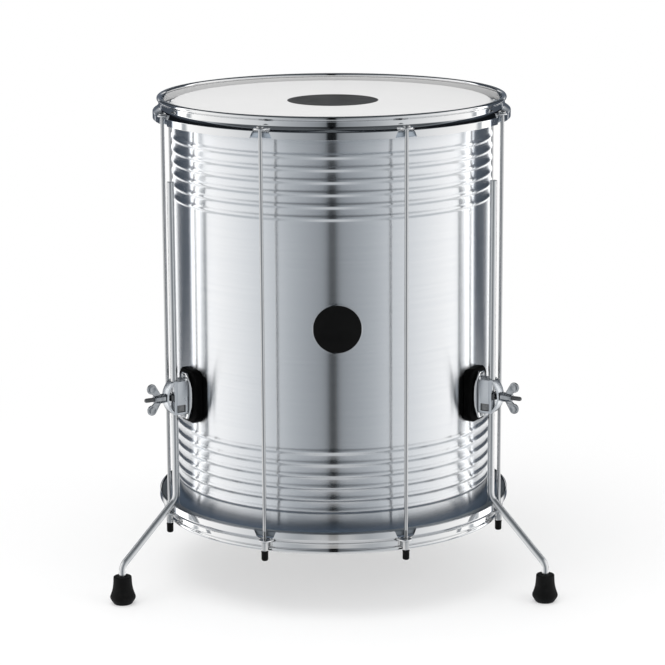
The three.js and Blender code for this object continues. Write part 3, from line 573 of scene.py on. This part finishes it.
def make_hoops():
    inner = HOOP_R - SHEET
    outside = (arc(HOOP_R - 0.75, -3.15, 3.1, 200, -58, 20) + [(HOOP_R + 0.25, -6.3)]
               + [(HOOP_R, -7.0), (HOOP_R, -7.7), (HOOP_R, -12.0), (HOOP_R, -12.6)]
               + [(232.3, -13.25), (233.0, -14.1), (235.1, -16.0), (237.4, -18.0),
                  (238.8, -18.8), (239.55, -19.35), (LIP_R - 0.05, -20.0)]
               + [(LIP_R - 0.05, -21.0), (LIP_R - 0.05, -28.2), (LIP_R - 0.05, -28.6),
                  (LIP_R - 0.5, -28.98)])
    inside = [(LIP_R - SHEET + 0.4, -28.98), (LIP_R - SHEET, -28.6), (LIP_R - SHEET, -28.0),
              (LIP_R - SHEET, -21.4), (LIP_R - SHEET, -20.5), (237.6, -19.5), (236.4, -18.4),
              (232.6, -17.2), (230.7, -16.2), (inner, -14.6), (inner, -13.8), (inner, -6.2),
              (inner, -5.6)]
    hoop = turned("hoop_ring", outside + inside, steps=288, ring=True)
    root, neck, end = HOOP_R - 1, ROD_CIRCLE - 1, ROD_CIRCLE + 7.0
    tab_outline = [(root, -12, 0), (236, -11, 0), (neck + 1, -9.2, 0), (end - 3, -7.0, 0),
                   (end - 0.8, -4.6, 0), (end, -2, 0), (end, 2, 0), (end - 0.8, 4.6, 0),
                   (end - 3, 7.0, 0), (neck + 1, 9.2, 0), (236, 11, 0), (root, 12, 0)]
    tab = plate("ear_tab", [(x, y, -TAB_TOP - 2) for x, y, _ in tab_outline], (0, 0, 2))
    soften(tab, 0.5, 3, 50)
    notch = plate("ear_notch", [(234.6, -6.5, -17.4), (234.6, 6.5, -17.4), (234.6, 12, -21),
                                (234.6, 16, -30), (234.6, -16, -30), (234.6, -12, -21)], (8, 0, 0))
    hole = upright_rod("rod_hole", 2.9, -20, -13, ROD_CIRCLE, 32)
    tabs = joined("tabs", [spaced(tab, turn) for turn in EAR_TURNS])
    notches = joined("notches", [spaced(notch, turn) for turn in EAR_TURNS])
    holes = joined("holes", [spaced(hole, turn) for turn in EAR_TURNS])
    discard(tab, notch, hole)
    combine(hoop, tabs, "UNION")
    combine(hoop, notches)
    combine(hoop, holes)
    smooth(hoop, 32)
    dress(hoop, "top_counterhoop", "drum", HOOP_METAL, lift=TOP_RIM)
    dress(hoop, "bottom_counterhoop", "drum", HOOP_METAL, lift=BOTTOM_RIM,
          turn=2 * EAR_TURN, flip=True)
    discard(hoop)


def spaced(piece, turn):
    made = piece.copy()
    made.data = piece.data.copy()
    bpy.context.collection.objects.link(made)
    move_mesh(made, about_z(turn))
    return made


def upright_rod(name, radius, low, high, x=0.0, sides=32):
    deselect()
    bpy.ops.mesh.primitive_cylinder_add(vertices=sides, radius=radius * MM,
                                        depth=(high - low) * MM)
    piece = bpy.context.object
    piece.name = name
    move_mesh(piece, shift(x, 0, (low + high) / 2))
    return piece


# ---------------------------------------------------------------- tension rods

def make_tension_sets():
    seat = TOP_RIM - TAB_TOP + 0.2
    tab_under = BOTTOM_RIM + TAB_TOP - 0.2
    nut_end = tab_under - 1.4 - 11.5
    cap_end = nut_end - 0.2 - 13.2
    thread = []
    z = tab_under + 14
    while z > cap_end + 5.2:
        thread += [(ROD_R - 0.02, z), (ROD_R - 0.3, z - 0.4)]
        z -= 0.8
    rod_profile = ([(0, seat + 3.0), (1.6, seat + 2.95), (3.2, seat + 2.6), (4.4, seat + 1.9),
                    (4.95, seat + 1.2), (4.95, seat + 0.2), (4.7, seat), (ROD_R, seat)]
                   + [(ROD_R, tab_under + 14.8)] + thread
                   + [(ROD_R - 0.7, cap_end + 3.4), (0, cap_end + 3.4)])
    rod = turned("tension_rod", rod_profile, steps=28)
    recess = upright_rod("driver_recess", 1.7, seat + 1.6, seat + 4, 0, 6)
    combine(rod, recess)
    smooth(rod, 40)
    hexagon = upright_rod("nut_body", 4.68, nut_end, tab_under - 1.3, 0, 6)
    soften(hexagon, 0.7, 3, 50)
    combine(hexagon, upright_rod("nut_bore", 2.7, nut_end - 1, tab_under + 1, 0, 28))
    washer = turned("nut_washer", [(2.7, tab_under - 1.4), (5.2, tab_under - 1.4),
                                   (5.58, tab_under - 1.0), (5.58, tab_under - 0.3),
                                   (5.3, tab_under), (2.7, tab_under)], steps=36, ring=True)
    nut = joined("tension_nut", [hexagon, washer])
    smooth(nut, 30)
    mouth = nut_end - 0.2
    cap_profile = ([(0, cap_end + 3), (2.6, cap_end + 3), (2.7, mouth - 0.3), (3.0, mouth),
                    (4.5, mouth), (4.78, mouth - 0.3), (4.78, mouth - 1.2), (4.5, mouth - 1.5)]
                   + [(4.48, cap_end + 3.2)] + arc(1.9, cap_end + 2.6, 2.6, 0, -90, 8)[1:]
                   + [(0, cap_end)])
    cap = turned("rod_cap", cap_profile, steps=32)
    smooth(cap, 40)
    for piece in (rod, nut, cap):
        move_mesh(piece, shift(ROD_CIRCLE))
    for i, turn in enumerate(EAR_TURNS, 1):
        dress(rod, f"tension_rod_{i}", "drum", ROD_METAL, turn=turn)
        dress(nut, f"tension_nut_{i}", f"nut_{i}", ROD_METAL, turn=turn)
        dress(cap, f"rod_cap_{i}", "drum", CAP_RUBBER, turn=turn)
    discard(rod, nut, cap)


# ---------------------------------------------------------------- legs

def make_leg():
    """A round end, drawn down and spun through its two bends."""
    top, high, low, bend = TOP_RIM - 99, BOTTOM_RIM + 44.5, 38 + 13.5, 18
    slope = math.atan2(FOOT_CIRCLE - LEG_CIRCLE, high - low)
    reach = bend * math.tan(slope / 2)
    run = math.hypot(FOOT_CIRCLE - LEG_CIRCLE, high - low) - 2 * reach
    deselect()
    bpy.ops.mesh.primitive_circle_add(vertices=32, radius=LEG_R * MM, fill_type="NGON")
    leg = bpy.context.object
    move_mesh(leg, shift(LEG_CIRCLE, 0, top))
    edit(leg)

    def draw(dx, dz):
        bpy.ops.mesh.extrude_region_move(
            TRANSFORM_OT_translate={"value": mesh_point((dx, 0, dz))})

    def spin(centre, angle):
        bpy.ops.mesh.spin(steps=12, angle=angle, center=mesh_point(centre), axis=(0, 1, 0))

    draw(0, high + reach - top)
    spin((LEG_CIRCLE + bend, 0, high + reach), slope)
    draw(run * math.sin(slope), -run * math.cos(slope))
    spin((FOOT_CIRCLE - bend, 0, low - reach), -slope)
    draw(0, 8.4 - (low - reach))
    tidy_mesh()
    soften(leg, 0.9, 3, 70)
    smooth(leg, 40)
    return leg


def make_foot():
    profile = ([(0, 8), (4.85, 8), (4.85, 37.0), (5.9, 38), (10.6, 38)]
               + arc(10.6, 36.4, 1.6, 90, 0, 5)[1:]
               + [(12.4, 31), (12.9, 25), (13.7, 20.5), (15.0, 16), (16.3, 12.4)]
               + [(17.0, 10.4), (17.1, 8.9), (16.7, 7.2), (12.9, 1.1), (12.0, 0.25), (11.2, 0.05)]
               + [(9.4, 0.05), (8.8, 0.9), (0, 0.9)])
    foot = turned("rubber_foot", profile, steps=56)
    move_mesh(foot, shift(FOOT_CIRCLE))
    smooth(foot, 40)
    return foot


# ---------------------------------------------------------------- leg bracket

def trim(piece, co, no):
    """Slices off what lies beyond a plane and closes the cut."""
    edit(piece)
    bpy.ops.mesh.bisect(plane_co=mesh_point(co), plane_no=no, use_fill=True, clear_outer=True)
    tidy_mesh()


def make_gasket():
    pad = curved_block("rubber_pad", SHELL_R + 0.2, GASKET_FACE, 23.5, 35.8, 14)
    for side in (1, -1):
        for up in (1, -1):
            trim(pad, (0, side * 21.5, up * 30.3), (0, side * 0.82, up * 0.57))
            trim(pad, (0, side * 16.5, up * 34.3), (0, side * 0.5, up * 0.87))
    soften(pad, 1.6, 4, 38)
    smooth(pad, 35)
    return pad


def make_plate():
    base = curved_block("polished_plate", GASKET_FACE + 0.2, PLATE_FACE - 0.1, 17.8, 31.4, 14)
    rise = [(17.4, 9.0), (15.8, 16.6), (12.6, 23.6), (9.0, 29.2)]
    lean = [0.12, 0.32, 0.52, 0.78]
    for side in (1, -1):
        for up in (1, -1):
            for (y, z), slant in zip(rise, lean):
                across = math.sqrt(1 - slant * slant)
                trim(base, (0, side * y, up * z), (0, side * across, up * slant))
    soften(base, 1.3, 4, 38)
    smooth(base, 35)
    return base


def make_housing():
    back, front = PLATE_FACE + 0.2, 247.15
    outline = [(back, -12, -22.5), (front - 3.5, -12, -22.5), (front, -8.5, -22.5),
               (front, 8.5, -22.5), (front - 3.5, 12, -22.5), (back, 12, -22.5)]
    body = plate("housing_block", outline, (0, 0, 45))
    foot_r, foot_z, sheet = 246.45, 21.2, 2.6
    sag = ARCH_R - foot_r
    radius = (foot_z ** 2 + sag ** 2) / (2 * sag)
    half = math.asin(foot_z / radius)
    centre = ARCH_R - radius
    strap = drawn_line("housing_arch", [
        (centre + radius - sheet / 2, -8, 0), (centre + radius + sheet / 2, -8, 0),
        (centre + radius + sheet / 2, 8, 0), (centre + radius - sheet / 2, 8, 0),
        (centre + radius - sheet / 2, -8, 0)])
    bpy.ops.mesh.remove_doubles(threshold=0.000002)
    bpy.ops.mesh.spin(steps=20, angle=2 * half, center=mesh_point((centre, 0, 0)),
                      axis=(0, 1, 0))
    bpy.ops.mesh.select_all(action="SELECT")
    bpy.ops.mesh.remove_doubles(threshold=0.000002)
    bpy.ops.mesh.fill_holes(sides=0)
    tidy_mesh()
    lean = -half if min(v.co.z for v in strap.data.vertices) < -0.004 else half
    move_mesh(strap, shift(centre) @ Matrix.Rotation(lean, 4, "Y") @ shift(-centre))
    combine(body, strap, "UNION")
    combine(body, upright_rod("leg_bore", 5.05, -24, 24, LEG_CIRCLE, 48))
    combine(body, upright_rod("eye_pocket", 9.6, -5, 5, LEG_CIRCLE, 48))
    combine(body, outward_rod("shank_hole", 3.5, LEG_CIRCLE, 264, 32))
    for side in (1, -1):
        corners = [(RECESS_IN, RECESS_LOW), (RECESS_OUT, RECESS_LOW),
                   (RECESS_OUT, RECESS_HIGH), (RECESS_IN, RECESS_HIGH)]
        dent = plate("side_recess", [(x, side * 8.6, z) for x, z in corners], (0, side * 5, 0))
        soften(dent, 0.7, 3, 50)
        combine(body, dent)
    soften(body, 0.55, 3, 42)
    smooth(body, 35)
    return body


def make_eye_bolt():
    hole, out, half = 5.05, 9.2, 4.6
    section = ([(hole, -half + 0.8), (hole + 0.8, -half)]
               + arc(out - 1.6, -half + 1.6, 1.6, -90, 0, 5)
               + arc(out - 1.6, half - 1.6, 1.6, 0, 90, 5)
               + [(hole + 0.8, half), (hole, half - 0.8)])
    eye = turned("eye_ring", section, steps=48, ring=True)
    move_mesh(eye, shift(LEG_CIRCLE))
    start, plain_end, tip = LEG_CIRCLE + 7, 256.0, 286.5
    profile = [(0, start), (2.95, start), (2.95, plain_end)]
    x = plain_end + 0.3
    while x < tip - 1.2:
        profile += [(2.98, x), (2.98, x + 0.15), (2.55, x + 0.55), (2.55, x + 0.7)]
        x += 1.0
    profile += [(2.5, tip - 0.9), (2.0, tip), (0, tip)]
    shank = turned("eye_shank", profile, steps=32)
    move_mesh(shank, Matrix.Rotation(TAU / 4, 4, "Y"))
    combine(eye, shank, "UNION")
    smooth(eye, 30)
    return eye


def make_wing_nut():
    start, end = 257.9, 273.7
    hub = turned("wing_hub", [(3.2, start), (5.9, start), (6.38, start + 0.5),
                              (6.3, start + 4.5), (5.6, start + 9), (5.2, start + 12.5),
                              (4.98, end - 0.6), (4.5, end), (3.2, end)], steps=40, ring=True)
    move_mesh(hub, Matrix.Rotation(TAU / 4, 4, "Y"))
    lobe_x, lobe_z, lobe_r = start + 18.3, 14.4, 6.85
    for side in (1, -1):
        sweep = [math.radians(135 - 225 * i / 20) for i in range(21)]
        rim = [(lobe_x + lobe_r * math.cos(t), lobe_z + lobe_r * math.sin(t)) for t in sweep]
        outline = [(start + 14.4, 3.9), (start + 4.4, 3.9)] + rim
        wing = plate("wing", [(x, -1.4, side * z) for x, z in outline], (0, 2.8, 0))
        soften(wing, 0.9, 4, 45)
        for face in (1, -1):
            dish = turned("wing_dish", [(0, 0.5), (1.5, 0.56), (2.8, 0.74), (4.0, 1.03),
                                        (4.9, 1.35), (4.9, 3), (0, 3)], steps=40)
            move_mesh(dish, shift(lobe_x, 0, side * lobe_z)
                      @ Matrix.Rotation(face * TAU / 4, 4, "X"))
            combine(wing, dish)
        combine(hub, wing, "UNION")
    soften(hub, 0.35, 2, 50)
    smooth(hub, 40)
    return hub


def make_screw():
    seat = 0.1
    screw = turned("dome_screw", [(0, seat), (3.5, seat), (3.68, seat + 0.25), (3.6, seat + 0.8),
                                  (3.2, seat + 1.6), (2.5, seat + 2.25), (1.5, seat + 2.65),
                                  (0, seat + 2.78)], steps=36)
    for turn in (0, TAU / 4):
        slit = upright_rod("slit", 2.1, seat + 1.5, seat + 4, 0, 4)
        move_mesh(slit, about_z(turn) @ Matrix.Diagonal((1, 0.22, 1, 1)) @ about_z(TAU / 8))
        combine(screw, slit)
    soften(screw, 0.12, 2, 50)
    smooth(screw, 40)
    move_mesh(screw, shift(PLATE_FACE) @ Matrix.Rotation(TAU / 4, 4, "Y"))
    return screw


def make_leg_sets():
    leg, foot = make_leg(), make_foot()
    bracket = {"bracket_gasket": (make_gasket(), PAD_RUBBER, "rubber"),
               "bracket_plate": (make_plate(), HOOP_METAL, "chrome"),
               "clamp_housing": (make_housing(), CAST_METAL, "cast"),
               "eye_bolt": (make_eye_bolt(), BOLT_METAL, "chrome")}
    wing, screw = make_wing_nut(), make_screw()
    for place, turn in LEG_TURNS.items():
        dress(leg, f"{place}_leg_rod", f"{place}_leg", LEG_METAL, turn=turn)
        dress(foot, f"{place}_leg_foot", f"{place}_leg", FOOT_RUBBER, turn=turn)
        for part, (piece, finish, slot) in bracket.items():
            dress(piece, f"{place}_{part}", "drum", finish, BRACKET_Z, turn)
        dress(wing, f"{place}_wing_nut", f"{place}_wing", WING_METAL, BRACKET_Z, turn)
        for name, side in (("upper", 1), ("lower", -1)):
            dress(screw, f"{place}_{name}_mount_screw", "drum", HOOP_METAL,
                  BRACKET_Z + side * 26.9, turn)
    discard(leg, foot, wing, screw, *(piece for piece, _, _ in bracket.values()))


make_shell()
make_badge()
make_heads()
make_hoops()
make_tension_sets()
make_leg_sets()


# ---------------------------------------------------------------- studio

def make_floor():
    deselect()
    bpy.ops.mesh.primitive_plane_add(size=60)
    floor = bpy.context.object
    floor.name = "studio_floor"
    f = Finish("pale_floor", Roughness=0.9, Specular_IOR_Level=0.1)
    f.set("Base Color", f.mix(f.noise(0.8, 2), grey(0.92), grey(0.94)))
    path = f.tree.nodes.new("ShaderNodeLightPath")
    camera_ray = Wire(f.tree, path.outputs["Is Camera Ray"])
    out = f.distance_from(0.0, 0.0)
    away = out.band(0.42, 1.2)
    glow = f.tree.nodes.new("ShaderNodeEmission")
    glow.inputs["Strength"].default_value = 1.0
    blend = f.tree.nodes.new("ShaderNodeMixShader")
    output = f.tree.nodes["Material Output"]
    plug(f.tree, camera_ray * (away * 0.6 + 0.4), blend.inputs[0])
    f.tree.links.new(f.shader.outputs[0], blend.inputs[1])
    f.tree.links.new(glow.outputs[0], blend.inputs[2])
    # Painted reflection: for glossy rays only, the floor glows as a white patch behind the drum, a
    # metre out, and as a faint glowing patch in front that lights the lower hoop.
    glossy_painted_reflection = f.tree.nodes.new("ShaderNodeMixShader")
    behind = out.band(1.0, 1.2, 1.0, 0.0) * f.y.band(0.02, 0.25)
    ahead = f.x.math("ABSOLUTE").band(0.05, 0.20, 0.38, 0.0) * f.y.band(-0.72, -0.64)
    plug(f.tree, behind + ahead * f.y.band(-0.20, -0.10, 1.0, 0.0), glossy_painted_reflection.inputs[0])
    clear = f.tree.nodes.new("ShaderNodeBsdfTransparent")
    f.tree.links.new(clear.outputs[0], glossy_painted_reflection.inputs[1])
    f.tree.links.new(glow.outputs[0], glossy_painted_reflection.inputs[2])
    parted = f.tree.nodes.new("ShaderNodeMixShader")
    plug(f.tree, Wire(f.tree, path.outputs["Is Glossy Ray"]), parted.inputs[0])
    f.tree.links.new(blend.outputs[0], parted.inputs[1])
    f.tree.links.new(glossy_painted_reflection.outputs[0], parted.inputs[2])
    f.tree.links.new(parted.outputs[0], output.inputs[0])
    floor.data.materials.append(f.material)


# How bright the studio looks in the metal, by compass angle from the camera, in degrees.
AROUND = [(0, 0.01), (2.6, 0.015), (3.6, 0.19), (5, 0.24), (9, 0.30), (15, 0.35), (22, 0.41),
          (31, 0.49), (40, 0.61), (47, 0.69), (60, 0.80), (72, 0.90), (90, 1.02), (104, 1.15),
          (107, 0.50), (110, 0.52), (112, 1.5), (121, 1.8), (150, 1.3), (165, 1.2), (180, 1.3)]


def make_world():
    world = bpy.data.worlds.new("studio_world")
    bpy.context.scene.world = world
    world.use_nodes = True
    world.cycles.sampling_method = "NONE"
    tree = world.node_tree
    tree.nodes.clear()
    coordinates = tree.nodes.new("ShaderNodeTexCoord")
    split = tree.nodes.new("ShaderNodeSeparateXYZ")
    tree.links.new(coordinates.outputs["Generated"], split.inputs[0])
    x, y, z = (Wire(tree, socket) for socket in split.outputs)
    compass = x.math("ARCTAN2", y * -1.0).math("ABSOLUTE") / math.pi
    ramp = tree.nodes.new("ShaderNodeValToRGB")
    stops = ramp.color_ramp.elements
    while len(stops) > 1:
        stops.remove(stops[0])
    stops[0].position = 0.0
    stops[0].color = (AROUND[0][1],) * 3 + (1,)
    for angle, level in AROUND[1:]:
        stops.new(angle / 180).color = (level,) * 3 + (1,)
    plug(tree, compass, ramp.inputs[0])
    around = Wire(tree, ramp.outputs[0])
    behind = compass.band(130 / 180, 155 / 180)
    ceiling = z.band(behind * -0.42 + 0.46, behind * -0.58 + 0.80)
    ground = z.band(math.sin(math.radians(-24)), math.sin(math.radians(-48)))
    reach = z.band(-0.45, -0.10, 5.5 / 180, 17 / 180)
    aside = (compass - 138.5 / 180).math("ABSOLUTE") - reach
    flag = aside.band(-1.5 / 180, 1.5 / 180, 1.0, 0.0)
    seen = around * (ceiling * -0.90 + 1.0) * (flag * -0.945 + 1.0)
    seen = seen + (seen * -1.0 + (flag * 0.1 + 0.48)) * ground
    path = tree.nodes.new("ShaderNodeLightPath")
    glossy = Wire(tree, path.outputs["Is Glossy Ray"])
    camera = Wire(tree, path.outputs["Is Camera Ray"])
    plain = camera * 0.1 + 0.9
    strength = plain + (seen - plain) * glossy
    tint = tree.nodes.new("ShaderNodeMix")
    tint.data_type = "RGBA"
    plug(tree, (seen * -1.0 + 1.0).math("MAXIMUM", 0.0) * glossy, tint.inputs["Factor"])
    tint.inputs[6].default_value = (1, 1, 1, 1)
    tint.inputs[7].default_value = (0.90, 1.00, 1.105, 1)
    slate = tree.nodes.new("ShaderNodeMix")
    slate.data_type = "RGBA"
    plug(tree, flag * glossy * 0.4, slate.inputs["Factor"])
    tree.links.new(tint.outputs[2], slate.inputs[6])
    slate.inputs[7].default_value = (0.70, 0.96, 1.42, 1)
    background = tree.nodes.new("ShaderNodeBackground")
    tree.links.new(slate.outputs[2], background.inputs["Color"])
    plug(tree, strength, background.inputs["Strength"])
    output = tree.nodes.new("ShaderNodeOutputWorld")
    tree.links.new(background.outputs[0], output.inputs[0])


def make_lamp(name, place, aim, size, watts):
    deselect()
    bpy.ops.object.light_add(type="AREA", location=place)
    lamp = bpy.context.object
    lamp.name = name
    lamp.data.size = size
    lamp.data.energy = watts
    lamp.visible_glossy = False
    way = Matrix.Translation(place).inverted() @ Matrix.Translation(aim)
    lamp.rotation_euler = way.to_translation().to_track_quat("-Z", "Y").to_euler()


def camera_roll(camera, degrees):
    """Turns the camera about its own line of sight."""
    deselect()
    camera.select_set(True)
    turned_view = camera.matrix_world @ Matrix.Rotation(math.radians(degrees), 4, "Z")
    camera.rotation_euler = turned_view.to_euler()


def make_camera():
    deselect()
    bpy.ops.object.camera_add(location=(0.0, -3.380 + AXIS_Y * MM, 1.088),
                              rotation=(math.radians(90 - 12.6), 0, 0))
    camera_roll(bpy.context.object, -0.28)
    camera = bpy.context.object
    camera.name = "photo_camera"
    camera.data.sensor_width = 36
    camera.data.lens = 2530 / 665 * 36
    camera.data.shift_x = -0.2 / 665
    bpy.context.scene.camera = camera


make_floor()
make_world()
make_lamp("overhead_softbox", (-0.6, -0.8, 2.8), (0, 0, 0.4), 1.8, 26)
make_lamp("side_softbox", (2.4, -1.4, 1.6), (0, 0, 0.35), 1.6, 12)
make_camera()
bpy.context.scene.view_settings.view_transform = "Standard"
